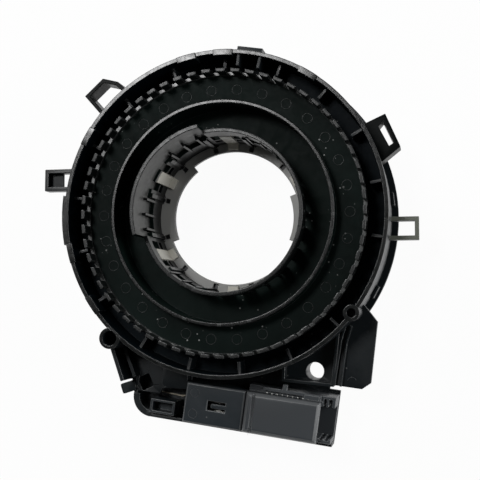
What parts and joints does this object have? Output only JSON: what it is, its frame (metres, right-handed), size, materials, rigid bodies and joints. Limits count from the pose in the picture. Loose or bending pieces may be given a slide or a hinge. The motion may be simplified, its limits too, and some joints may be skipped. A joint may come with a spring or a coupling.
{
  "type": "steering clock spring",
  "caption": "Rotary steering-column connector: ring housing with snap loops and connector bay, turning hub with toothed code disc, flat cable inside.",
  "frame": {"origin": "on the axis of rotation, in the plane of the wheel-side nose that the part rests on", "axes": "+Z along the axis of rotation, from the steering wheel towards the column side with the code disc; +Y away from the connector bay"},
  "size_m": [0.1479, 0.1532, 0.053],
  "materials": {
    "housing_plastic": "satin black glass-filled moulding",
    "disc_plastic": "satin black moulding, slightly greenish",
    "hub_plastic": "satin black moulding",
    "lid_plastic": "dark grey matte moulding",
    "socket_plastic": "dark grey matte moulding",
    "slide_plastic": "off-white low-friction plastic",
    "cable_film": "thin polyester ribbon over flat copper",
    "glide_film": "thin slippery film",
    "felt": "thin felt",
    "tin_plate": "tinned contact metal",
    "insert_plastic": "coloured retainer insert"
  },
  "bodies": {
    "stator": {"housing": "housing_plastic", "front_cover": "housing_plastic", "connector_lid": "lid_plastic", "connector_socket": "socket_plastic", "connector_pins": "tin_plate", "terminal_block": "hub_plastic", "cable_clamp": "lid_plastic", "flat_cable": "cable_film", "front_film": "glide_film", "rear_film": "glide_film", "felt_ring": "felt", "cable_anchor": "lid_plastic", "contact_strips": "tin_plate"},
    "rotor": {"hub": "hub_plastic", "code_disc": "disc_plastic", "slide_ring": "slide_plastic", "squib_insert_right": "insert_plastic", "squib_insert_left": "insert_plastic", "squib_pins": "tin_plate", "switch_pins": "tin_plate", "inner_clip": "lid_plastic", "shorting_bars": "tin_plate"}
  },
  "joints": [
    {"name": "rotor_turn", "type": "hinge", "parent": "stator", "child": "rotor", "pos_m": [0, 0, 0], "axis": [0, 0, 1], "range_deg": [-900, 900], "deforming": ["flat_cable"]}
  ]
}
